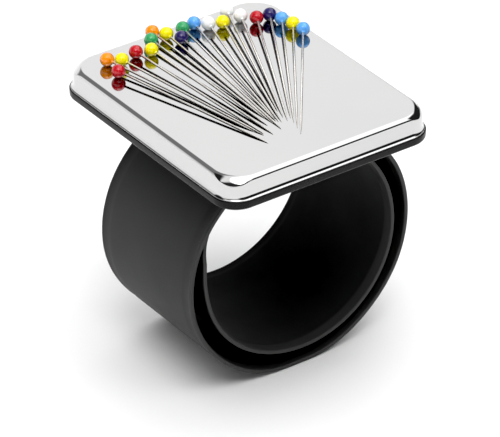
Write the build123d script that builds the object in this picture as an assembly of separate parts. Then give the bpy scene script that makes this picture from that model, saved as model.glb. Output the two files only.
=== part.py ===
from build123d import *
import math
import os

# Magnetic wrist pin holder: a pressed steel cap over a black moulded tray with a
# magnet in it, bonded to the middle of a silicone covered snap band whose two arms
# curl into a double loop, with ball-head pins lying on the cap.
# Frame: millimetres, +Z up, origin under the middle of the whole object on the
# surface it stands on. X runs across the loop, Y is the loop's own axis.

# ---------------------------------------------------------------- driving sizes
PLATE_CX = -2.45        # middle of the cap in X
FACE_Z = 75.17          # height of the cap's flat top face
FACE_W = 60.0           # flat part of the top face, along X
FACE_L = 70.8           # flat part of the top face, along Y
SHOULDER = 1.5          # rounded shoulder between face and wall
CAP_H = 5.9             # cap height, face to bottom edge
CAP_T = 0.5             # sheet thickness
CAP_W = 64.0            # cap footprint at its bottom edge, along X
CAP_L = 74.8            # and along Y
CAP_CORNER = 6.5        # plan corner radius at the bottom edge
WALL_DRAFT = 3.0        # degrees that the cap's wall leans out

RIM_H = 2.4             # tray rim below the cap
RIM_OUT = 0.35          # rim stands proud of the cap on every side
SADDLE_W = 8.0          # saddle under the tray that carries the band
SADDLE_H = 2.0
PAD_T = 0.3             # bonding pad

MAG_W, MAG_L, MAG_T = 55.6, 65.6, 3.0

BAND_W = 40.0           # band width, along Y
BAND_T = 1.3            # band thickness
POCKET_W = 33.2         # pocket for the spring strip
STRIP_W = 33.0
STRIP_T = 0.20
POCKET_T = 0.24
JOINT_HALF_GAP = 0.26   # degrees of turn left free each side of a hinge line
TAIL_CAP = 5.0          # degrees of solid silicone past the strip's end

HEAD_R = 1.85           # pin head
PIN_L = 50.0            # head centre to tip
SHAFT_R = 0.30
TAPER_L = 7.0
TIP_R = 0.036

# flat under side of the band's middle, which the two arms leave from
BAND_TOP_Z = FACE_Z - CAP_H - RIM_H - SADDLE_H - PAD_T
FLAT_X0, FLAT_X1 = PLATE_CX - 3.0, PLATE_CX + 5.0

# Outer arm, along its outer surface: (radius, turn in degrees) or (None, length)
OUTER_PATH = [(25.0, 35.0), (32.74, 55.0), (33.7, 78.0), (12.0, 12.0),
              (None, 9.27), (12.0, 12.0), (34.9, 78.0), (34.5, 44.0)]
# Inner arm, along its inner surface, turning the other way
INNER_PATH = [(23.5, 35.0), (31.47, 55.0), (27.4, 90.0), (30.5, 90.0),
              (None, 5.0), (14.0, 28.0), (29.5, 9.0)]
OUTER_HINGES = [31.4, 94.2, 157.0, 219.8, 282.6]    # degrees of turn from the flat
OUTER_END = 314.0
INNER_HINGES = [165.0, 225.0]
INNER_END = 307.0

# Pins: head colour, head centre X and Y from the middle of the face, direction
PINS = [
    ("red", -24.02, 22.54, -76.02),
    ("orange", -23.01, 29.17, -76.81),
    ("yellow", -19.99, 26.91, -79.22),
    ("red", -14.79, 28.12, -84.76),
    ("yellow", -10.86, 26.74, -87.20),
    ("green", -8.01, 31.02, -88.95),
    ("orange", -5.46, 34.19, -90.21),
    ("yellow", -3.01, 31.31, -92.71),
    ("navy", -0.93, 27.47, -94.98),
    ("green", 2.10, 31.27, -97.10),
    ("sky", 5.96, 31.72, -101.16),
    ("white", 8.97, 29.43, -104.70),
    ("yellow", 12.54, 27.93, -108.35),
    ("white", 16.73, 32.11, -110.62),
    ("white", 18.19, 27.91, -113.32),
    ("red", 21.01, 24.73, -116.88),
    ("navy", 24.78, 24.07, -119.95),
    ("sky", 26.02, 20.50, -122.56),
    ("yellow", 26.94, 16.83, -124.91),
    ("sky", 27.36, 12.92, -126.99),
]

os.makedirs("parts", exist_ok=True)


def save(shape, name):
    shape.label = name
    export_step(shape, f"parts/{name}.step")


# ------------------------------------------------------------------ band paths
def walk(start, heading, path, sign, t0, t1, off):
    """Edges of the path between turns t0 and t1, offset to its left by off.

    Returns a list of (start, middle, end) points, middle None for a line.
    """
    x, z = start
    h = math.radians(heading)
    turned = 0.0
    out = []
    for r, v in path:
        left = (-math.sin(h), math.cos(h))
        if r is None:
            nx, nz = x + v * math.cos(h), z + v * math.sin(h)
            if t0 < turned < t1:
                out.append(((x + off * left[0], z + off * left[1]), None,
                            (nx + off * left[0], nz + off * left[1])))
            x, z = nx, nz
            continue
        cx, cz = x + sign * r * left[0], z + sign * r * left[1]
        ro = r - sign * off
        a0 = max(t0, turned)
        a1 = min(t1, turned + v)

        def at(t, radius):
            hh = h + sign * math.radians(t - turned)
            return (cx + sign * radius * math.sin(hh), cz - sign * radius * math.cos(hh))

        if a1 > a0 + 1e-9:
            out.append((at(a0, ro), at((a0 + a1) / 2, ro), at(a1, ro)))
        x, z = at(turned + v, r)
        turned += v
        h += sign * math.radians(v)
    return out


def outer_walk(t0, t1, off):
    return walk((FLAT_X0, BAND_TOP_Z), 180.0, OUTER_PATH, 1, t0, t1, off)


def inner_walk(t0, t1, off):
    return walk((FLAT_X1, BAND_TOP_Z - BAND_T), 0.0, INNER_PATH, -1, t0, t1, off)


def flip(segments):
    return [(c, b, a) for a, b, c in reversed(segments)]


def prism(loop, width):
    """Solid across the band from a closed loop of segments in the XZ plane."""
    edges = []
    y = -width / 2
    for a, m, b in loop:
        pa, pb = Vector(a[0], y, a[1]), Vector(b[0], y, b[1])
        if m is None:
            edges.append(Edge.make_line(pa, pb))
        else:
            edges.append(Edge.make_three_point_arc(pa, Vector(m[0], y, m[1]), pb))
    return Solid.extrude(Face(Wire(edges)), Vector(0, width, 0))


def ribbon(one, two, width):
    """Closed ribbon between two offset runs of one path."""
    return prism(one + [(one[-1][2], None, two[-1][2])] + flip(two)
                 + [(two[0][0], None, one[0][0])], width)


def arm_piece(walker, t0, t1, strip_end):
    lo = BAND_T / 2
    sleeve = ribbon(walker(t0, t1, 0.0), walker(t0, t1, BAND_T), BAND_W)
    pocket = ribbon(walker(t0 - 0.5, strip_end + 0.5 * (strip_end == t1), lo - POCKET_T / 2),
                    walker(t0 - 0.5, strip_end + 0.5 * (strip_end == t1), lo + POCKET_T / 2), POCKET_W)
    strip = ribbon(walker(t0, strip_end - 0.02 * (strip_end != t1), lo - STRIP_T / 2),
                   walker(t0, strip_end - 0.02 * (strip_end != t1), lo + STRIP_T / 2), STRIP_W)
    return sleeve - pocket, strip


def middle_loop(off_a, off_b, t_out, t_in):
    """Loop round the band's middle between two depths below its top surface."""
    la, lb = outer_walk(0, t_out, off_a), outer_walk(0, t_out, off_b)
    ra = inner_walk(0, t_in, BAND_T - off_a)
    rb = inner_walk(0, t_in, BAND_T - off_b)
    za, zb = BAND_TOP_Z - off_a, BAND_TOP_Z - off_b
    top = flip(la) + [((FLAT_X0, za), None, (FLAT_X1, za))] + ra
    low = flip(lb) + [((FLAT_X0, zb), None, (FLAT_X1, zb))] + rb
    return top + [(top[-1][2], None, low[-1][2])] + flip(low) + [(low[0][0], None, top[0][0])]


# --------------------------------------------------------------- cap and tray
def block(w, l, r, z, h, draft=0.0):
    return extrude(Plane((PLATE_CX, 0, z)) * RectangleRounded(w, l, r), amount=h, taper=draft)


cap_z = FACE_Z - CAP_H
cap = block(CAP_W, CAP_L, CAP_CORNER, cap_z, CAP_H, WALL_DRAFT)
cap = fillet(cap.faces().sort_by(Axis.Z)[-1].edges(), SHOULDER)
hollow = block(CAP_W - 2 * CAP_T, CAP_L - 2 * CAP_T, CAP_CORNER - CAP_T, cap_z, CAP_H - CAP_T, WALL_DRAFT)
hollow = fillet(hollow.faces().sort_by(Axis.Z)[-1].edges(), SHOULDER - CAP_T)
cap = cap - hollow
save(cap, "steel_cap")

rim_z = cap_z - RIM_H
rim = block(CAP_W + 2 * RIM_OUT, CAP_L + 2 * RIM_OUT, CAP_CORNER + RIM_OUT, rim_z, RIM_H)
rim = fillet(rim.faces().sort_by(Axis.Z)[0].edges(), 0.8)
core_h = CAP_H - CAP_T - 0.1
core = block(CAP_W - 2 * CAP_T - 0.5, CAP_L - 2 * CAP_T - 0.5, CAP_CORNER - CAP_T - 0.2, cap_z, core_h, WALL_DRAFT)
core = fillet(core.faces().sort_by(Axis.Z)[-1].edges(), SHOULDER - CAP_T + 0.2)
saddle = Pos((FLAT_X0 + FLAT_X1) / 2, 0, rim_z - SADDLE_H / 2) * Box(SADDLE_W, BAND_W, SADDLE_H)
mag_pocket = Pos(PLATE_CX, 0, cap_z + core_h - (MAG_T + 0.2) / 2) * Box(MAG_W + 0.4, MAG_L + 0.4, MAG_T + 0.2)
tray = rim + core + saddle - mag_pocket
save(tray, "base_tray")

magnet = Pos(PLATE_CX, 0, cap_z + core_h - MAG_T / 2 - 0.1) * Box(MAG_W, MAG_L, MAG_T)
magnet = chamfer(magnet.edges(), 0.3)
save(magnet, "magnet")

pad = Pos((FLAT_X0 + FLAT_X1) / 2, 0, BAND_TOP_Z + PAD_T / 2) * Box(SADDLE_W, BAND_W - 2, PAD_T)
save(pad, "bonding_pad")

# ------------------------------------------------------------------------ band
G = JOINT_HALF_GAP
mid = BAND_T / 2
m_out, m_in = OUTER_HINGES[0] - G, INNER_HINGES[0] - G
sleeve = prism(middle_loop(0, BAND_T, m_out, m_in), BAND_W)
pocket = prism(middle_loop(mid - POCKET_T / 2, mid + POCKET_T / 2, m_out + 0.5, m_in + 0.5), POCKET_W)
save(sleeve - pocket, "band_sleeve_middle")
save(prism(middle_loop(mid - STRIP_T / 2, mid + STRIP_T / 2, m_out, m_in), STRIP_W), "spring_strip_middle")

for arm, walker, hinges, end in (("outer", outer_walk, OUTER_HINGES, OUTER_END),
                                 ("inner", inner_walk, INNER_HINGES, INNER_END)):
    cuts = hinges + [end]
    for k in range(len(hinges)):
        t0 = cuts[k] + G
        last = k == len(hinges) - 1
        t1 = end if last else cuts[k + 1] - G
        sleeve, strip = arm_piece(walker, t0, t1, end - TAIL_CAP if last else t1)
        save(sleeve, f"{arm}_sleeve_{k + 1}")
        save(strip, f"{arm}_spring_{k + 1}")

# ------------------------------------------------------------------------ pins
for i, (colour, hx, hy, deg) in enumerate(PINS, start=1):
    hz = HEAD_R + 0.02
    drop = math.asin((hz - 0.08) / PIN_L)
    a = math.radians(deg)
    flat = math.cos(drop)
    d = Vector(math.cos(a) * flat, math.sin(a) * flat, -math.sin(drop))
    centre = Vector(PLATE_CX + hx, hy, FACE_Z + hz)
    line = Plane(origin=centre, z_dir=d)
    start = -0.6
    rod = line * Pos(0, 0, (start + PIN_L - TAPER_L) / 2) * Cylinder(SHAFT_R, PIN_L - TAPER_L - start)
    point = line * Pos(0, 0, PIN_L - TAPER_L / 2) * Cone(SHAFT_R, TIP_R, TAPER_L)
    shaft = rod + point
    bore = line * Pos(0, 0, (start + 3) / 2) * Cylinder(SHAFT_R, 3 - start)
    head = Pos(centre.X, centre.Y, centre.Z) * Sphere(HEAD_R) - bore
    save(shaft, f"pin_shaft_{i:02d}")
    save(head, f"pin_head_{i:02d}")
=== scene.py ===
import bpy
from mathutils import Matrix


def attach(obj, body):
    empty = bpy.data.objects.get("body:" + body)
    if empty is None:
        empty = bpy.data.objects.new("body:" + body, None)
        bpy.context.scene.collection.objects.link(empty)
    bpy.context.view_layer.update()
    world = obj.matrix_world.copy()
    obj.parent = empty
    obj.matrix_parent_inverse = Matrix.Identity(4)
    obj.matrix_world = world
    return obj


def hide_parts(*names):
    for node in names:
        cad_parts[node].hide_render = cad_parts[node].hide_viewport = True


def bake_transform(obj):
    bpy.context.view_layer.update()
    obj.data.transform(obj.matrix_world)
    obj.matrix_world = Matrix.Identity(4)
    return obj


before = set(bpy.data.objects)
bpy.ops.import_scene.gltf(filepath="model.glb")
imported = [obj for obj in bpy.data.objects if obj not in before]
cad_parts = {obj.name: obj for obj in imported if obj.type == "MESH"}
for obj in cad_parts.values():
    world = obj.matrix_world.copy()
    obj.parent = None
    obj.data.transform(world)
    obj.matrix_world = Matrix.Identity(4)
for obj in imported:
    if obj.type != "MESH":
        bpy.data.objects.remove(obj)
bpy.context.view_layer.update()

import math

import bpy
from mathutils import Matrix, Vector

MM = 0.001

# ------------------------------------------------------------ sizes shared with the CAD (mm)
PLATE_CX, FACE_Z = -2.45, 75.17
CAP_H, CAP_W, CAP_L, CAP_CORNER = 5.9, 64.0, 74.8, 6.5
CAP_Z = FACE_Z - CAP_H
RIM_H, RIM_OUT = 2.4, 0.35
SADDLE_W, SADDLE_H, PAD_T = 8.0, 2.0, 0.3
BAND_W, BAND_T = 40.0, 1.3
POCKET_W, POCKET_T, STRIP_W, STRIP_T = 33.2, 0.24, 33.0, 0.20
BAND_TOP_Z = CAP_Z - RIM_H - SADDLE_H - PAD_T
FLAT_X0, FLAT_X1 = PLATE_CX - 3.0, PLATE_CX + 5.0
# the foot of the loop is eased a little more than in the CAD, to within 0.07 mm of it
OUTER_PATH = [(25.0, 35.0), (32.74, 55.0), (33.7, 69.0), (26.56, 21.0),
              (None, 5.54), (26.56, 21.0), (34.9, 69.0), (34.5, 44.0)]
INNER_PATH = [(23.5, 35.0), (31.47, 55.0), (27.4, 90.0), (30.5, 90.0),
              (None, 5.0), (14.0, 28.0), (29.5, 9.0)]
OUTER_SEAMS = [0.0, 62.8, 125.6, 188.4, 251.2, 314.0]
INNER_SEAMS = [130.0, 195.0, 255.0, 307.0]
TAIL_CAP = 5.0
HEAD_R, PIN_L, SHAFT_R, TAPER_L, TIP_R = 1.85, 50.0, 0.30, 7.0, 0.036
PINS = [
    ("red", -24.02, 22.54, -76.02), ("orange", -23.01, 29.17, -76.81),
    ("yellow", -19.99, 26.91, -79.22), ("red", -14.79, 28.12, -84.76),
    ("yellow", -10.86, 26.74, -87.20), ("green", -8.01, 31.02, -88.95),
    ("orange", -5.46, 34.19, -90.21), ("yellow", -3.01, 31.31, -92.71),
    ("navy", -0.93, 27.47, -94.98), ("green", 2.10, 31.27, -97.10),
    ("sky", 5.96, 31.72, -101.16), ("white", 8.97, 29.43, -104.70),
    ("yellow", 12.54, 27.93, -108.35), ("white", 16.73, 32.11, -110.62),
    ("white", 18.19, 27.91, -113.32), ("red", 21.01, 24.73, -116.88),
    ("navy", 24.78, 24.07, -119.95), ("sky", 26.02, 20.50, -122.56),
    ("yellow", 26.94, 16.83, -124.91), ("sky", 27.36, 12.92, -126.99),
]


# ------------------------------------------------------------------------ node helpers
class Nodes:
    def __init__(self, tree):
        self.t = tree
        tree.nodes.clear()

    def add(self, kind, inputs=None, **props):
        n = self.t.nodes.new(kind)
        for k, v in props.items():
            setattr(n, k, v)
        for k, v in (inputs or {}).items():
            if isinstance(v, bpy.types.NodeSocket):
                self.t.links.new(v, n.inputs[k])
            else:
                n.inputs[k].default_value = v
        return n

    def math(self, op, a, b=0.0, c=None, clamp=False):
        n = self.add("ShaderNodeMath", {0: a, 1: b}, operation=op, use_clamp=clamp)
        if c is not None:
            if isinstance(c, bpy.types.NodeSocket):
                self.t.links.new(c, n.inputs[2])
            else:
                n.inputs[2].default_value = c
        return n.outputs[0]

    def ramp(self, v, a, b, lo, hi, kind="LINEAR"):
        n = self.add("ShaderNodeMapRange", {"Value": v, "From Min": a, "From Max": b, "To Min": lo, "To Max": hi},
                     interpolation_type=kind)
        return n.outputs[0]

    def noise(self, vec, scale, detail=2.0, rough=0.5):
        return self.add("ShaderNodeTexNoise", {"Vector": vec, "Scale": scale, "Detail": detail, "Roughness": rough}).outputs[0]

    def mapping(self, vec, scale=(1, 1, 1), rot=(0, 0, 0)):
        return self.add("ShaderNodeMapping", {"Vector": vec, "Scale": scale, "Rotation": rot}).outputs[0]

    def mix(self, f, a, b):
        n = self.add("ShaderNodeMix", {"Factor": f}, data_type="RGBA")
        for name, v in (("A", a), ("B", b)):
            s = [i for i in n.inputs if i.name == name and i.type == "RGBA"][0]
            if isinstance(v, bpy.types.NodeSocket):
                self.t.links.new(v, s)
            else:
                s.default_value = (*v, 1.0) if len(v) == 3 else v
        return [o for o in n.outputs if o.type == "RGBA"][0]


def material(name, build, **sockets):
    m = bpy.data.materials.new(name)
    m.use_nodes = True
    n = Nodes(m.node_tree)
    out = n.add("ShaderNodeOutputMaterial")
    bsdf = n.add("ShaderNodeBsdfPrincipled", {k.replace("_", " "): v for k, v in sockets.items()})
    n.t.links.new(bsdf.outputs[0], out.inputs["Surface"])
    vec = n.add("ShaderNodeTexCoord").outputs["Object"]
    build(n, bsdf, vec)
    return m


def link(n, a, bsdf, name):
    n.t.links.new(a, bsdf.inputs[name])


def bump(n, bsdf, height, distance, strength=1.0):
    b = n.add("ShaderNodeBump", {"Height": height, "Distance": distance, "Strength": strength})
    link(n, b.outputs[0], bsdf, "Normal")


# --------------------------------------------------------------------------- materials
def steel(n, bsdf, vec):
    """Pressed stainless sheet, polished: faint rolling lines, smudges and a little waviness."""
    smudge = n.noise(vec, 70.0, 4.0, 0.6)
    fine = n.noise(n.mapping(vec, (5000.0, 260.0, 5000.0)), 1.0, 3.0, 0.6)
    rough = n.math("ADD", n.ramp(smudge, 0.35, 0.75, 0.045, 0.085), n.ramp(fine, 0.3, 0.7, -0.008, 0.012))
    link(n, rough, bsdf, "Roughness")
    tone = n.noise(vec, 26.0, 2.0, 0.5)
    link(n, n.mix(n.ramp(tone, 0.3, 0.7, 0.0, 1.0), (0.562, 0.562, 0.564), (0.585, 0.584, 0.582)), bsdf, "Base Color")
    wave = n.noise(vec, 130.0, 1.0, 0.4)
    bump(n, bsdf, n.math("ADD", n.math("MULTIPLY", wave, 0.9), n.math("MULTIPLY", fine, 0.02)), 0.000012)


def silicone(n, bsdf, vec):
    """Black silicone: satin outside and matter on the wrist side; painted shade darkens the wrist side, and painted
    highlight lines run along the edges.
    """
    cloud = n.noise(vec, 60.0, 4.0, 0.6)
    speck = n.noise(vec, 5200.0, 2.0, 0.6)
    dust = n.ramp(n.noise(vec, 900.0, 5.0, 0.7), 0.62, 0.80, 0.0, 1.0)
    wrist = n.add("ShaderNodeAttribute", attribute_name="wrist").outputs["Fac"]
    painted_edge_light = n.add("ShaderNodeAttribute", attribute_name="painted_edge_light").outputs["Fac"]
    base = n.mix(n.ramp(cloud, 0.3, 0.75, 0.0, 1.0), (0.0095, 0.0095, 0.0098), (0.0138, 0.0138, 0.0137))
    # painted shade: the wrist side, inside the loop, gets a darker base colour; the extra roughness added below is its
    # real matt finish
    base = n.mix(wrist, base, (0.0050, 0.0050, 0.0052))
    base = n.mix(n.math("MULTIPLY", dust, 0.06), base, (0.08, 0.08, 0.078))
    # painted highlight: pale lines along both edge crests, plus painted light on the wrist side just inside the near
    # edge
    base = n.mix(painted_edge_light, base, (0.090, 0.090, 0.089))
    link(n, base, bsdf, "Base Color")
    rough = n.math("ADD", n.ramp(cloud, 0.3, 0.7, 0.56, 0.66), n.ramp(speck, 0.3, 0.7, -0.03, 0.03))
    link(n, n.math("ADD", rough, n.math("MULTIPLY", wrist, 0.28)), bsdf, "Roughness")
    bump(n, bsdf, n.math("ADD", speck, n.math("MULTIPLY", n.noise(vec, 1500.0, 3.0, 0.6), 0.8)), 0.000022, 0.55)


def moulding(n, bsdf, vec):
    """Black injection moulding with a light spark-eroded grain."""
    grain = n.noise(vec, 3600.0, 3.0, 0.7)
    cloud = n.noise(vec, 90.0, 3.0, 0.6)
    link(n, n.mix(n.ramp(cloud, 0.3, 0.7, 0.0, 1.0), (0.0055, 0.0055, 0.0058), (0.0090, 0.0090, 0.0090)), bsdf, "Base Color")
    link(n, n.math("ADD", n.ramp(cloud, 0.3, 0.7, 0.22, 0.29), n.ramp(grain, 0.3, 0.7, -0.04, 0.05)), bsdf, "Roughness")
    bump(n, bsdf, grain, 0.000018, 0.6)


def pin_steel(n, bsdf, vec):
    """Nickel plated steel wire with drawing lines along it; painted shade darkens its base colour towards the
    underside.
    """
    grain = n.noise(n.mapping(vec, (9000.0, 700.0, 9000.0)), 1.0, 3.0, 0.6)
    link(n, n.ramp(grain, 0.3, 0.7, 0.17, 0.26), bsdf, "Roughness")
    tone = n.mix(n.ramp(n.noise(vec, 300.0, 2.0, 0.5), 0.3, 0.7, 0.0, 1.0), (0.84, 0.81, 0.77), (0.94, 0.91, 0.87))
    painted_underside_shade = n.add("ShaderNodeAttribute", attribute_name="painted_underside_shade").outputs["Fac"]
    # painted shade: the base colour goes near black where the wire faces down
    link(n, n.mix(painted_underside_shade, tone, (0.028, 0.025, 0.023)), bsdf, "Base Color")
    bump(n, bsdf, grain, 0.000003, 0.5)


def head_plastic(colour, deep):
    """Glossy moulded plastic, with painted shade that deepens its colour towards the outline."""
    # colour of the painted shade at the outline
    edge = tuple(v * (0.30 if min(colour) < 0.9 else 0.86) for v in deep)

    def build(n, bsdf, vec):
        cloud = n.noise(vec, 700.0, 3.0, 0.6)
        facing = n.add("ShaderNodeLayerWeight", {"Blend": 0.5}).outputs["Facing"]
        base = n.mix(n.ramp(cloud, 0.3, 0.72, 0.0, 1.0), deep, colour)
        # painted shade: the base colour darkens as the surface turns away from view
        base = n.mix(n.ramp(facing, 0.30, 0.95, 0.0, 0.80, "SMOOTHSTEP"), base, edge)
        link(n, base, bsdf, "Base Color")
        link(n, n.ramp(n.noise(vec, 1600.0, 3.0, 0.6), 0.3, 0.7, 0.07, 0.15), bsdf, "Roughness")
        bump(n, bsdf, n.noise(vec, 1300.0, 2.0, 0.5), 0.000012, 0.5)
    return build


def ferrite(n, bsdf, vec):
    link(n, n.mix(n.noise(vec, 1800.0, 4.0, 0.7), (0.045, 0.045, 0.048), (0.085, 0.085, 0.09)), bsdf, "Base Color")
    bump(n, bsdf, n.noise(vec, 2500.0, 3.0, 0.7), 0.00003, 0.6)


def bond(n, bsdf, vec):
    link(n, n.mix(n.noise(vec, 900.0, 3.0, 0.6), (0.035, 0.035, 0.036), (0.06, 0.06, 0.06)), bsdf, "Base Color")
    bump(n, bsdf, n.noise(vec, 2200.0, 2.0, 0.6), 0.00002, 0.5)


def spring_steel(n, bsdf, vec):
    grain = n.noise(n.mapping(vec, (400.0, 6000.0, 400.0)), 1.0, 3.0, 0.6)
    link(n, n.ramp(grain, 0.3, 0.7, 0.22, 0.34), bsdf, "Roughness")
    link(n, n.mix(grain, (0.42, 0.42, 0.43), (0.52, 0.52, 0.52)), bsdf, "Base Color")


M = {
    "polished_steel": material("polished_steel", steel, Metallic=1.0),
    "black_silicone": material("black_silicone", silicone, Specular_IOR_Level=0.42),
    "black_moulding": material("black_moulding", moulding, Specular_IOR_Level=0.18),
    "pin_steel": material("pin_steel", pin_steel, Metallic=0.72, Specular_IOR_Level=0.30),
    "ferrite": material("ferrite", ferrite, Roughness=0.6),
    "bond": material("bond", bond, Roughness=0.5),
    "spring_steel": material("spring_steel", spring_steel, Metallic=1.0),
}
HEADS = {
    "red": ((0.56, 0.016, 0.026), (0.46, 0.010, 0.018)),
    "orange": ((1.0, 0.315, 0.008), (0.96, 0.265, 0.006)),
    "yellow": ((1.0, 0.90, 0.008), (1.0, 0.83, 0.005)),
    "green": ((0.050, 0.40, 0.145), (0.036, 0.34, 0.12)),
    "navy": ((0.030, 0.022, 0.135), (0.022, 0.016, 0.105)),
    "sky": ((0.135, 0.43, 0.95), (0.110, 0.38, 0.88)),
    "white": ((0.97, 0.97, 0.97), (0.94, 0.94, 0.94)),
}
for k, (a, b) in HEADS.items():
    M["head_" + k] = material("head_" + k, head_plastic(a, b), Specular_IOR_Level=0.50, Coat_Weight=0.25, Coat_Roughness=0.04,
                              Subsurface_Weight=0.12, Subsurface_Radius=(1.0, 0.6, 0.4), Subsurface_Scale=0.0008)


# ------------------------------------------------------------------------ mesh helpers
def mesh_object(name, verts, faces, slot, sharp=()):
    """verts in mm. sharp is a set of vertex-index pairs whose edges stay crisp."""
    me = bpy.data.meshes.new(name)
    me.from_pydata([(v[0] * MM, v[1] * MM, v[2] * MM) for v in verts], [], faces)
    me.update()
    for p in me.polygons:
        p.use_smooth = True
    if sharp:
        att = me.attributes.new("sharp_edge", "BOOLEAN", "EDGE")
        for e in me.edges:
            if (min(e.vertices), max(e.vertices)) in sharp:
                att.data[e.index].value = True
    me.materials.append(M[slot])
    o = bpy.data.objects.new(name, me)
    bpy.context.scene.collection.objects.link(o)
    return o


def rounded(cx, hw, hl, r, z, n=14):
    """Rounded rectangle, counter-clockwise from above."""
    pts = []
    r = min(r, hw, hl)
    for k, (sx, sy) in enumerate(((1, 1), (-1, 1), (-1, -1), (1, -1))):
        ox, oy = cx + sx * (hw - r), sy * (hl - r)
        for i in range(n + 1):
            a = math.radians(90 * k + 90 * i / n)
            pts.append((ox + r * math.cos(a), oy + r * math.sin(a), z))
    return pts


def lathe_rings(name, rings, slot):
    """Closed skin through rings of equal count; first and last ring are closed flat."""
    m = len(rings[0])
    verts = [p for r in rings for p in r]
    faces = []
    for j in range(len(rings) - 1):
        for i in range(m):
            a, b = j * m + i, j * m + (i + 1) % m
            faces.append((a, b, b + m, a + m))
    faces.append(tuple(range(m))[::-1])
    faces.append(tuple((len(rings) - 1) * m + i for i in range(m)))
    return mesh_object(name, verts, faces, slot)


def arc(cx, cz, r, a0, a1, n):
    return [(cx + r * math.cos(math.radians(a0 + (a1 - a0) * i / n)),
             cz + r * math.sin(math.radians(a0 + (a1 - a0) * i / n))) for i in range(n + 1)]


# ---------------------------------------------------------------------------- steel cap
# Profile as (inset from the CAD's bottom outline, z below the face).
SH = 1.38               # rounded shoulder
WALL_IN = 0.66          # the wall stands in from the outline, and the skirt flares out to it
face_in = WALL_IN + SH + 0.05
prof = [(face_in + 0.4, 0.0), (face_in + 0.06, 0.0)]
for i in range(15):
    a = math.radians(90 - 87 * i / 14)
    prof.append((face_in - SH * math.cos(a), -SH * (1 - math.sin(a))))
wall_top = prof[-1]
# the foot of the wall: a wide concave flare, then a tight one onto the lip; angles are of the surface normal from vertical
FLARE = ((2.6, 87.0, 57.0, 12), (0.72, 57.0, 24.0, 7))
flare = [(WALL_IN, 0.0)]
for r_, n0, n1, steps in FLARE:
    x0, z0 = flare[-1]
    for i in range(1, steps + 1):
        na = math.radians(n0 + (n1 - n0) * i / steps)
        nb = math.radians(n0)
        flare.append((x0 - r_ * (math.sin(nb) - math.sin(na)), z0 - r_ * (math.cos(na) - math.cos(nb))))
drop = -5.74 - flare[-1][1]
flare = [(x, z + drop) for x, z in flare]
for i in range(1, 4):
    t = i / 4
    prof.append((wall_top[0] + (flare[0][0] - wall_top[0]) * t, wall_top[1] + (flare[0][1] - wall_top[1]) * t))
prof += flare
edge_in, edge_z = flare[-1]
# rolled edge of the sheet, then back up inside
prof += [(edge_in - 0.035, edge_z - 0.045), (edge_in - 0.03, edge_z - 0.11), (edge_in + 0.03, edge_z - 0.16),
         (edge_in + 0.16, edge_z - 0.18), (edge_in + 0.34, edge_z - 0.17), (edge_in + 0.47, edge_z - 0.10)]
prof += [(WALL_IN + 0.42, -4.9), (WALL_IN + 0.48, -3.2), (face_in - 0.95, -1.6), (face_in - 0.6, -0.8), (face_in + 0.1, -0.5)]


def ease(t):
    t = max(0.0, min(1.0, t))
    return t * t * (3 - 2 * t)


def cap_corner(i, z):
    """Drawn corners: rounder where the face meets the shoulder, and with less of a flare at the foot."""
    return CAP_CORNER - i + 2.4 * ease((z + SH) / SH) + 0.35 * ease((-z - 4.2) / 1.5)


def corner_dip(ring, i, z, n=20):
    """The shoulder is drawn deeper round the corners."""
    if i > face_in + 0.02 or z < -3.6:
        return ring
    d = 0.85 * z if z > -SH else -0.85 * SH * (1 - (-z - SH) / (3.6 - SH))
    out = []
    for k, (x, y, zz) in enumerate(ring):
        c = math.sin(math.pi * (k % (n + 1)) / n) ** 2
        out.append((x, y, zz + d * c))
    return out


rings = [corner_dip(rounded(PLATE_CX, CAP_W / 2 - i, CAP_L / 2 - i, cap_corner(i, z), FACE_Z + z, 20), i, z) for i, z in prof]
# outside runs downwards, so turn each ring to keep normals out
rings = [list(reversed(r)) for r in rings]
cap = lathe_rings("steel_cap_skin", rings, "polished_steel")
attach(cap, "plate")
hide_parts("steel_cap")

# --------------------------------------------------------------------------------- tray
rim_z = CAP_Z - RIM_H
W2, L2, RC = CAP_W / 2 + RIM_OUT, CAP_L / 2 + RIM_OUT, CAP_CORNER + RIM_OUT
sad_cx = (FLAT_X0 + FLAT_X1) / 2
tray_rings = []


def plate_ring(inset, z, r=None):
    tray_rings.append(rounded(PLATE_CX, W2 - inset, L2 - inset, (RC - inset) if r is None else r, z))


def saddle_ring(inset, z):
    tray_rings.append(rounded(sad_cx, SADDLE_W / 2 - inset, BAND_W / 2 - inset, max(0.9 - inset, 0.2), z))


plate_ring(3.1, CAP_Z + 5.25, 7.4)
plate_ring(2.2, CAP_Z + 5.2, 7.8)
plate_ring(1.7, CAP_Z + 4.7, 7.8)
plate_ring(1.42, CAP_Z + 3.2)
plate_ring(1.42, CAP_Z + 0.25)
plate_ring(1.40, CAP_Z - 0.02)
plate_ring(0.60, CAP_Z - 0.02)
plate_ring(0.32, CAP_Z - 0.03)
for i in range(6):      # top outer edge of the rim
    a = math.radians(90 - 88 * i / 5)
    plate_ring(0.30 - 0.28 * math.cos(a), CAP_Z - 0.03 - 0.28 * (1 - math.sin(a)))
plate_ring(0.03, CAP_Z - 1.2)
for i in range(9):      # lower outer edge
    a = math.radians(90 * i / 8)
    plate_ring(0.05 + 0.72 * (1 - math.cos(a)), rim_z + 0.72 - 0.72 * math.sin(a))
plate_ring(0.95, rim_z)
plate_ring(1.6, rim_z)
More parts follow.
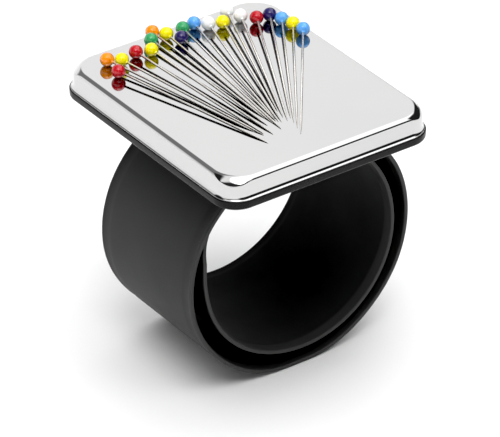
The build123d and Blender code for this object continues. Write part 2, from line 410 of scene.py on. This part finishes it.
# a shallow moulded step round the underside
plate_ring(1.75, rim_z + 0.06)
plate_ring(1.85, rim_z + 0.2)
plate_ring(2.0, rim_z + 0.25)
plate_ring(2.4, rim_z + 0.25)
saddle_ring(-1.3, rim_z + 0.25)
for i in range(6):      # fillet into the saddle
    a = math.radians(90 * i / 5)
    saddle_ring(-0.8 + 0.8 * math.sin(a), rim_z + 0.25 - 0.8 * (1 - math.cos(a)))
saddle_ring(0.02, rim_z - 1.6)
for i in range(5):
    a = math.radians(90 * i / 4)
    saddle_ring(0.04 + 0.3 * (1 - math.cos(a)), rim_z - SADDLE_H + 0.3 - 0.3 * math.sin(a))
saddle_ring(0.6, rim_z - SADDLE_H)
tray = lathe_rings("tray_skin", [list(reversed(r)) for r in tray_rings], "black_moulding")
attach(tray, "plate")
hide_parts("base_tray")

# --------------------------------------------------------------------------------- band
def half_profile():
    """Band section from the middle of its outer side round the edge to the middle of its wrist side: (y, depth)."""
    pts = [(0, 0), (6, 0), (11, 0), (14.6, 0), (15.6, 0.0), (16.0, 0.01), (16.35, 0.035), (16.7, 0.075),
           (17.1, 0.115), (17.5, 0.135), (18.1, 0.14), (18.6, 0.13), (18.9, 0.10), (19.15, 0.055), (19.35, 0.02),
           (19.52, 0.004)]
    lip = [(19.72 + 0.28 * math.cos(math.radians(a)), 0.285 - 0.28 * math.sin(math.radians(a)))
           for a in (80, 62, 44, 26, 10)]
    lip += [(20.0, 0.42), (20.0, 0.62), (20.0, 0.80)]
    lip += [(19.70 + 0.30 * math.cos(math.radians(a)), 0.81 + 0.30 * math.sin(math.radians(a)))
            for a in (14, 34, 54, 74)]
    back = [(19.55, 1.112), (19.2, 1.11), (18.8, 1.11), (18.4, 1.12), (18.05, 1.155), (17.75, 1.21), (17.45, 1.265),
            (17.1, 1.292), (16.8, 1.3), (16.0, 1.3), (13, 1.3), (9, 1.3), (5, 1.3), (0, 1.3)]
    return pts + lip + back


HALF = half_profile()
SECTION = HALF + [(-y, d) for y, d in reversed(HALF[1:-1])]


def pocket_section(w, d0, d1):
    """The same number of points as SECTION, round a thin rectangle."""
    n_half = len(HALF)
    out = []
    for i in range(n_half):
        t = i / (n_half - 1)
        if t < 0.4:
            out.append((w / 2 * t / 0.4, d0))
        elif t > 0.6:
            out.append((w / 2 * (1 - t) / 0.4, d1))
        else:
            out.append((w / 2, d0 + (d1 - d0) * (t - 0.4) / 0.2))
    return out + [(-y, d) for y, d in reversed(out[1:-1])]


MID = BAND_T / 2
POCKET = pocket_section(POCKET_W, MID - POCKET_T / 2, MID + POCKET_T / 2)
STRIP = pocket_section(STRIP_W, MID - STRIP_T / 2, MID + STRIP_T / 2)


def stations(start, heading, path, sign, t0, t1, step=1.0):
    """Points on the path's own line from turn t0 to t1: (x, z, heading in radians, turn)."""
    x, z = start
    h = math.radians(heading)
    turned = 0.0
    out = []
    for r, v in path:
        if r is None:
            if t0 < turned < t1:
                for i in range(1, 7):
                    out.append((x + v * math.cos(h) * i / 6, z + v * math.sin(h) * i / 6, h, turned))
            x, z = x + v * math.cos(h), z + v * math.sin(h)
            continue
        cx, cz = x - sign * r * math.sin(h), z + sign * r * math.cos(h)

        def at(t):
            hh = h + sign * math.radians(t - turned)
            return (cx + sign * r * math.sin(hh), cz - sign * r * math.cos(hh), hh, t)

        a0, a1 = max(t0, turned), min(t1, turned + v)
        if a1 > a0 + 1e-9:
            n = max(2, math.ceil((a1 - a0) / step))
            for i in range(n + 1):
                if i == 0 and out:
                    continue
                out.append(at(a0 + (a1 - a0) * i / n))
        x, z, hh, _ = at(turned + v)
        turned += v
        h += sign * math.radians(v)
    return out


def outer_frames(t0, t1):
    """(base point, direction into the band, travel, turn) for the outer arm."""
    out = []
    for x, z, h, t in stations((FLAT_X0, BAND_TOP_Z), 180.0, OUTER_PATH, 1, t0, t1):
        # the soft band stands out a touch fuller at its sides
        full = 0.38 * (smooth((t - 35) / 35) * smooth((132 - t) / 35) + smooth((t - 215) / 35) * smooth((318 - t) / 25))
        x, z = x + full * math.sin(h), z - full * math.cos(h)
        out.append(((x, z), (-math.sin(h), math.cos(h)), (math.cos(h), math.sin(h)), t))
    return out


def inner_frames(t0, t1):
    out = []
    for x, z, h, t in stations((FLAT_X1, BAND_TOP_Z - BAND_T), 0.0, INNER_PATH, -1, t0, t1):
        lx, lz = -math.sin(h), math.cos(h)
        out.append(((x + BAND_T * lx, z + BAND_T * lz), (-lx, -lz), (math.cos(h), math.sin(h)), t))
    return out


def flat_frames():
    n = 8
    return [((FLAT_X0 + (FLAT_X1 - FLAT_X0) * i / n, BAND_TOP_Z), (0.0, -1.0), (1.0, 0.0), 0.0) for i in range(1, n)]


def smooth(t):
    t = max(0.0, min(1.0, t))
    return t * t * (3 - 2 * t)


def inner_shift(t):
    """The inner tail lies a little askew, away from the near edge."""
    return 1.9 * smooth((t - 258.0) / 45.0)


def inner_lean(t):
    """The inner turns are slightly conical: how far the far edge lies inside the near one."""
    return 2.1 * smooth((t - 60.0) / 110.0)


def outer_shift(t):
    return 0.0


def ring_at(frame_, section, dy=0.0, squeeze=1.0, thick=1.0, lean=0.0):
    (bx, bz), (nx, nz), _, _ = frame_
    out = []
    for y, d in section:
        dd = MID + (d - MID) * thick + lean * (y * squeeze / BAND_W + 0.5)
        out.append((bx + nx * dd, y * squeeze + dy, bz + nz * dd))
    return out


def tube(name, frames, shift, slot, section=SECTION, hole=POCKET, flip=False, tail=False, hole_end=None, tail_r=5.5,
         lean=lambda t: 0.0):
    """Band skin through the frames. With a hole it is a sleeve round the pocket, closed at both cuts."""
    m = len(section)
    rings, squeeze = [], []
    n = len(frames)
    # distance from the tail's end, for its rounded corners
    length = [0.0] * n
    for i in range(n - 2, -1, -1):
        a, b = frames[i][0], frames[i + 1][0]
        length[i] = length[i + 1] + math.hypot(a[0] - b[0], a[1] - b[1])
    extra = []
    if tail:
        # more rings close to the end, so the corners are round
        base = frames[-1]
        keep = [f for f, l in zip(frames, length) if l > tail_r + 0.4]
        (ex, ez), nrm, (tx, tz), t = base
        steps = [tail_r * (1 - math.sin(math.radians(a))) for a in range(0, 91, 6)]
        for s in steps:
            # walk back along the last arc by interpolating the frames
            i = max(k for k in range(n) if length[k] >= s - 1e-9)
            j = min(i + 1, n - 1)
            u = 0.0 if length[i] == length[j] else (length[i] - s) / (length[i] - length[j])
            fa, fb = frames[i], frames[j]
            lerp = lambda p, q: (p[0] + (q[0] - p[0]) * u, p[1] + (q[1] - p[1]) * u)
            nn = lerp(fa[1], fb[1]); ln = math.hypot(*nn)
            keep.append((lerp(fa[0], fb[0]), (nn[0] / ln, nn[1] / ln), fb[2], fa[3] + (fb[3] - fa[3]) * u))
            extra.append(s)
        frames = keep
        n = len(frames)
    for i, f in enumerate(frames):
        sq, th = 1.0, 1.0
        if tail and i >= n - len(extra):
            s = extra[i - (n - len(extra))]
            w = BAND_W / 2 - tail_r + math.sqrt(max(0.0, tail_r ** 2 - (tail_r - s) ** 2))
            sq = w / (BAND_W / 2)
            th = 0.42 + 0.58 * math.sqrt(max(0.0, min(1.0, 1 - (1 - min(s, 0.45) / 0.45) ** 2)))
        rings.append(ring_at(f, section, shift(f[3]), sq, th, lean(f[3])))
    verts = [p for r in rings for p in r]
    faces, sharp = [], set()

    def quad(a, b, c, d):
        faces.append((a, b, c, d) if not flip else (d, c, b, a))

    for j in range(n - 1):
        for i in range(m):
            a, b = j * m + i, j * m + (i + 1) % m
            quad(a, a + m, b + m, b)
    if hole is None:
        faces.append(tuple(range(m)) if not flip else tuple(range(m))[::-1])
        last = tuple((n - 1) * m + i for i in range(m))
        faces.append(last[::-1] if not flip else last)
        for k in (0, (n - 1) * m):
            for i in range(m):
                a, b = k + i, k + (i + 1) % m
                sharp.add((min(a, b), max(a, b)))
    else:
        stop = n if hole_end is None else max(2, sum(1 for f in frames if f[3] <= hole_end))
        off = len(verts)
        for j in range(stop):
            verts += ring_at(frames[j], hole, shift(frames[j][3]), lean=lean(frames[j][3]))
        for j in range(stop - 1):
            for i in range(m):
                a, b = off + j * m + i, off + j * m + (i + 1) % m
                quad(a, b, b + m, a + m)
        for i in range(m):       # the cut at the start
            a, b = i, (i + 1) % m
            quad(a, b, off + b, off + a)
            sharp.add((min(a, b), max(a, b)))
        if hole_end is None:
            k, ko = (n - 1) * m, off + (stop - 1) * m
            for i in range(m):
                a, b = k + i, k + (i + 1) % m
                quad(b, a, ko + i, ko + (i + 1) % m)
                sharp.add((min(a, b), max(a, b)))
        else:
            k = (n - 1) * m
            last = tuple(k + i for i in range(m))
            faces.append(last[::-1] if not flip else last)
            ko = off + (stop - 1) * m
            inner = tuple(ko + i for i in range(m))
            faces.append(inner if not flip else inner[::-1])
    o = mesh_object(name, verts, faces, slot, sharp)
    wrist = o.data.attributes.new("wrist", "FLOAT", "POINT")
    painted_edge_light = o.data.attributes.new("painted_edge_light", "FLOAT", "POINT")
    for i in range(n * m):
        y, d = section[i % m]
        # painted light: near the near edge the wrist side's painted shade is lifted and a light strip is added
        margin = smooth((abs(y) - 16.9) / 0.9)
        wrist.data[i].value = smooth((d - 0.75) / 0.35) * (1 - (margin if y < 0 else 0.0))
        margin = margin if y < 0 else 0.0
        # painted highlight: a pale line along the crest of each edge
        painted_edge_light.data[i].value = (0.34 if d < 0.6 else 0.26) * max(0.0, 1 - abs(abs(y) - 19.93) / 0.3)
        painted_edge_light.data[i].value += 0.045 * margin * smooth((d - 0.75) / 0.3)
    return o


def between(frames, shift, inset=0.9):
    """Start and end points, a little inside the piece."""
    a = Vector((frames[0][0][0] * MM, 0, frames[0][0][1] * MM))
    b = Vector((frames[-1][0][0] * MM, 0, frames[-1][0][1] * MM))
    d = (b - a).normalized() * inset * MM
    return a + d, b - d


# middle of the band with the root of the inner arm, fixed to the plate
root = flat_frames()
root = [((FLAT_X0, BAND_TOP_Z), (0.0, -1.0), (1.0, 0.0), 0.0)] + root + inner_frames(0.0, INNER_SEAMS[0])
band_mid = tube("band_middle", root, inner_shift, "black_silicone", flip=True, lean=inner_lean)
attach(band_mid, "plate")
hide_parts("band_sleeve_middle")
strip_mid = tube("strip_middle", root, inner_shift, "spring_steel", STRIP, None, flip=True, lean=inner_lean)
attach(strip_mid, "plate")
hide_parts("spring_strip_middle")

for k in range(5):
    t0, t1 = OUTER_SEAMS[k], OUTER_SEAMS[k + 1]
    fr = outer_frames(t0, t1)
    last = k == 4
    a = "plate" if k == 0 else f"outer_arm_{k}"
    b = f"outer_arm_{k + 1}"
    s, e = between(fr, outer_shift)
    skin = tube(f"band_outer_{k + 1}", fr, outer_shift, "black_silicone", flip=False, tail=last,
                hole_end=t1 - TAIL_CAP if last else None)
    st_fr = [f for f in fr if not last or f[3] <= t1 - TAIL_CAP]
    strip = tube(f"strip_outer_{k + 1}", st_fr, outer_shift, "spring_steel", STRIP, None, flip=False)
    for o, node in ((skin, f"outer_sleeve_{k + 1}"), (strip, f"outer_spring_{k + 1}")):
        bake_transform(o)
        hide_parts(node)

for k in range(3):
    t0, t1 = INNER_SEAMS[k], INNER_SEAMS[k + 1]
    fr = inner_frames(t0, t1)
    last = k == 2
    skin = tube(f"band_inner_{k + 1}", fr, inner_shift, "black_silicone", flip=True, tail=last,
                hole_end=t1 - TAIL_CAP if last else None, lean=inner_lean)
    st_fr = [f for f in fr if not last or f[3] <= t1 - TAIL_CAP]
    strip = tube(f"strip_inner_{k + 1}", st_fr, inner_shift, "spring_steel", STRIP, None, flip=True, lean=inner_lean)
    s, e = between(fr, inner_shift)
    for o, kind in ((skin, "sleeve"), (strip, "spring")):
        if k == 0:
            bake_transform(o)
            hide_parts(f"inner_{kind}_1")
        elif k == 1:
            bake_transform(o)
            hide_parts(f"inner_{kind}_2")
        else:
            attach(o, "inner_arm_2")
            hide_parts(f"inner_{kind}_2")

# --------------------------------------------------------------------------------- pins
def revolve(name, profile, origin, axis, slot, n=40):
    """profile is (distance along the axis, radius). Points with radius 0 close the ends."""
    z = Vector(axis).normalized()
    x = z.cross(Vector((0, 0, 1))).normalized()
    y = z.cross(x)
    verts, rings, faces = [], [], []
    for s, r in profile:
        c = Vector(origin) + z * s
        if r < 1e-6:
            rings.append([len(verts)])
            verts.append(tuple(c))
        else:
            rings.append(list(range(len(verts), len(verts) + n)))
            for i in range(n):
                a = 2 * math.pi * i / n
                verts.append(tuple(c + x * (r * math.cos(a)) + y * (r * math.sin(a))))
    for p, q in zip(rings, rings[1:]):
        for i in range(n):
            j = (i + 1) % n
            if len(p) == 1 and len(q) == 1:
                continue
            if len(p) == 1:
                faces.append((p[0], q[j], q[i]))
            elif len(q) == 1:
                faces.append((p[i], p[j], q[0]))
            else:
                faces.append((p[i], p[j], q[j], q[i]))
    return mesh_object(name, verts, faces, slot)


for i, (colour, hx, hy, deg) in enumerate(PINS, start=1):
    hz = HEAD_R + 0.02
    dip = math.asin((hz - 0.08) / PIN_L)
    a = math.radians(deg)
    d = (math.cos(a) * math.cos(dip), math.sin(a) * math.cos(dip), -math.sin(dip))
    c = (PLATE_CX + hx, hy, FACE_Z + hz)
    # the moulded ball runs into a short collar round the wire
    ball = [(-HEAD_R, 0.0)]
    for k in range(1, 30):
        b = math.radians(180 - 6 * k)
        s, r = HEAD_R * math.cos(b), HEAD_R * math.sin(b)
        if s > 1.72:
            break
        ball.append((s, r))
    ball += [(1.775, 0.50), (1.83, 0.455), (1.93, 0.43), (2.06, 0.415), (2.13, 0.385), (2.16, 0.33), (2.16, 0.301),
             (1.2, 0.301), (-0.45, 0.301), (-0.45, 0.0)]
    head = revolve(f"head_{i:02d}", ball, c, d, "head_" + colour)
    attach(head, f"pin_{i:02d}")
    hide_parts(f"pin_head_{i:02d}")
    wire = [(-0.4, 0.0), (-0.4, SHAFT_R - 0.05), (-0.35, SHAFT_R)]
    wire += [(PIN_L - TAPER_L, SHAFT_R)]
    for k in range(1, 15):
        t = k / 15
        wire.append((PIN_L - TAPER_L + TAPER_L * t, TIP_R + (SHAFT_R - TIP_R) * (1 - t ** 2.1)))
    wire += [(PIN_L - 0.02, TIP_R), (PIN_L, 0.0)]
    shaft = revolve(f"wire_{i:02d}", wire, c, d, "pin_steel", n=32)
    # painted shade mask: 1 where the wire's surface faces down, 0 along its top
    painted_underside_shade = shaft.data.attributes.new("painted_underside_shade", "FLOAT", "POINT")
    for v in shaft.data.vertices:
        w = v.co / MM - Vector(c)
        w -= Vector(d) * w.dot(Vector(d))
        painted_underside_shade.data[v.index].value = smooth((0.68 - w.normalized().z) / 0.30) if w.length > 1e-4 else 0.0
    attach(shaft, f"pin_{i:02d}")
    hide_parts(f"pin_shaft_{i:02d}")

# ----------------------------------------------------------------- CAD parts that show as they are
for node, slot in (("magnet", "ferrite"), ("bonding_pad", "bond")):
    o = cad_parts[node]
    o.data.materials.clear()
    o.data.materials.append(M[slot])

# ------------------------------------------------------------------------------- studio
floor_mat = bpy.data.materials.new("studio_floor")
floor_mat.use_nodes = True
n = Nodes(floor_mat.node_tree)
out = n.add("ShaderNodeOutputMaterial")
dif = n.add("ShaderNodeBsdfDiffuse", {"Color": (0.872, 0.872, 0.872, 1), "Roughness": 0.0})
clear = n.add("ShaderNodeBsdfTransparent")
back = n.add("ShaderNodeNewGeometry").outputs["Backfacing"]
mx = n.add("ShaderNodeMixShader", {0: back})
n.t.links.new(dif.outputs[0], mx.inputs[1])
n.t.links.new(clear.outputs[0], mx.inputs[2])
n.t.links.new(mx.outputs[0], out.inputs["Surface"])
me = bpy.data.meshes.new("floor")
ring_n = 96
R = 8.0
me.from_pydata([(R * math.cos(2 * math.pi * i / ring_n), R * math.sin(2 * math.pi * i / ring_n), 0.0) for i in range(ring_n)],
               [], [tuple(range(ring_n))])
me.materials.append(floor_mat)
floor = bpy.data.objects.new("floor", me)
bpy.context.scene.collection.objects.link(floor)

world = bpy.data.worlds.new("studio")
bpy.context.scene.world = world
world.use_nodes = True
n = Nodes(world.node_tree)
direction = n.add("ShaderNodeVectorMath", {0: n.add("ShaderNodeTexCoord").outputs["Generated"]}, operation="NORMALIZE").outputs[0]
sep = n.add("ShaderNodeSeparateXYZ", {0: direction})
DX, DY, DZ = sep.outputs


def patch(centre, inner, outer):
    """1 inside a round patch of sky about centre, 0 outside it, angles in degrees."""
    v = Vector(centre).normalized()
    dot = n.add("ShaderNodeVectorMath", {0: direction, 1: tuple(v)}, operation="DOT_PRODUCT").outputs["Value"]
    return n.ramp(dot, math.cos(math.radians(outer)), math.cos(math.radians(inner)), 0.0, 1.0, "SMOOTHSTEP")


def level(v, amount, to):
    """v turned towards to by amount."""
    return n.math("ADD", n.math("MULTIPLY", v, n.math("SUBTRACT", 1.0, amount)), n.math("MULTIPLY", amount, to))


SKY = 1.20
sky = n.math("MULTIPLY", 1.0, SKY)
# the panel the face mirrors, and a brighter one over the front right
sky = level(sky, patch((0.507, 0.698, 0.505), 20, 34), 1.26)
sky = level(sky, patch((0.507, -0.25, 0.82), 24, 44), 1.85)
# a grey panel high behind, and a dark one low on the left that the wires mirror
sky = level(sky, patch((-0.15, 0.698, 0.70), 22, 35), 0.26)
sky = level(sky, patch((-0.82, 0.36, 0.44), 15, 25), 0.03)
sky = level(sky, patch((-0.57, 0.38, 0.73), 14, 22), 0.03)
# a dark gap at the right corner, and a small lamp over the camera
sky = level(sky, patch((0.86, -0.27, 0.43), 17, 26), 0.03)
# the tent is open and dark low down on the right, and up to head height in front
low = n.math("MULTIPLY", n.ramp(DZ, -0.02, 0.03, 0.0, 1.0, "SMOOTHSTEP"), n.ramp(DZ, 0.40, 0.52, 1.0, 0.0, "SMOOTHSTEP"))
side = n.math("ADD", n.math("MULTIPLY", DX, 0.809), n.math("MULTIPLY", DY, -0.588))
low = n.math("MULTIPLY", low, n.ramp(side, 0.05, 0.40, 0.0, 1.0, "SMOOTHSTEP"))
sky = level(sky, low, 0.03)
front = n.math("ADD", n.math("MULTIPLY", DX, -0.588), n.math("MULTIPLY", DY, -0.809))
hole = n.math("MULTIPLY", n.ramp(front, 0.36, 0.56, 0.0, 1.0, "SMOOTHSTEP"), n.ramp(DZ, 0.76, 0.86, 1.0, 0.0, "SMOOTHSTEP"))
hole = n.math("MULTIPLY", hole, n.ramp(DZ, 0.28, 0.44, 0.0, 1.0, "SMOOTHSTEP"))
sky = level(sky, hole, 0.04)
sky = level(sky, patch((-0.26, -0.36, 0.895), 10, 18), 4.4)
bg = n.add("ShaderNodeBackground", {"Color": (1, 1, 1, 1), "Strength": sky})
wo = n.add("ShaderNodeOutputWorld")
n.t.links.new(bg.outputs[0], wo.inputs["Surface"])

lamp = bpy.data.lights.new("overhead", "SUN")
lamp.energy = 1.5
lamp.angle = math.radians(72)
key = bpy.data.objects.new("overhead", lamp)
bpy.context.scene.collection.objects.link(key)
key.rotation_euler = (math.radians(-8), math.radians(-8), 0)
key.visible_glossy = False

# ------------------------------------------------------------------------------- camera
cam_data = bpy.data.cameras.new("camera")
cam_data.lens = 329.47
cam_data.sensor_width = 36.0
cam_data.clip_start, cam_data.clip_end = 0.05, 60.0
cam = bpy.data.objects.new("camera", cam_data)
bpy.context.scene.collection.objects.link(cam)
rot = Matrix(((0.81137625, 0.30737818, -0.49717928), (-0.58451286, 0.43197016, -0.68683804), (0.00364759, 0.84789176, 0.53015683)))
cam.matrix_world = Matrix.Translation(Vector((-0.591127, -0.81502, 0.664139))) @ rot.to_4x4()
bpy.context.scene.camera = cam
bpy.context.scene.view_settings.view_transform = "Standard"
bpy.context.scene.view_settings.look = "None"
# studio contrast: deep blacks and a floor that goes to white
bpy.context.scene.view_settings.use_curve_mapping = True
curve = bpy.context.scene.view_settings.curve_mapping
curve.black_level = (0.007, 0.007, 0.007)
curve.white_level = (0.95, 0.95, 0.95)
curve.update()
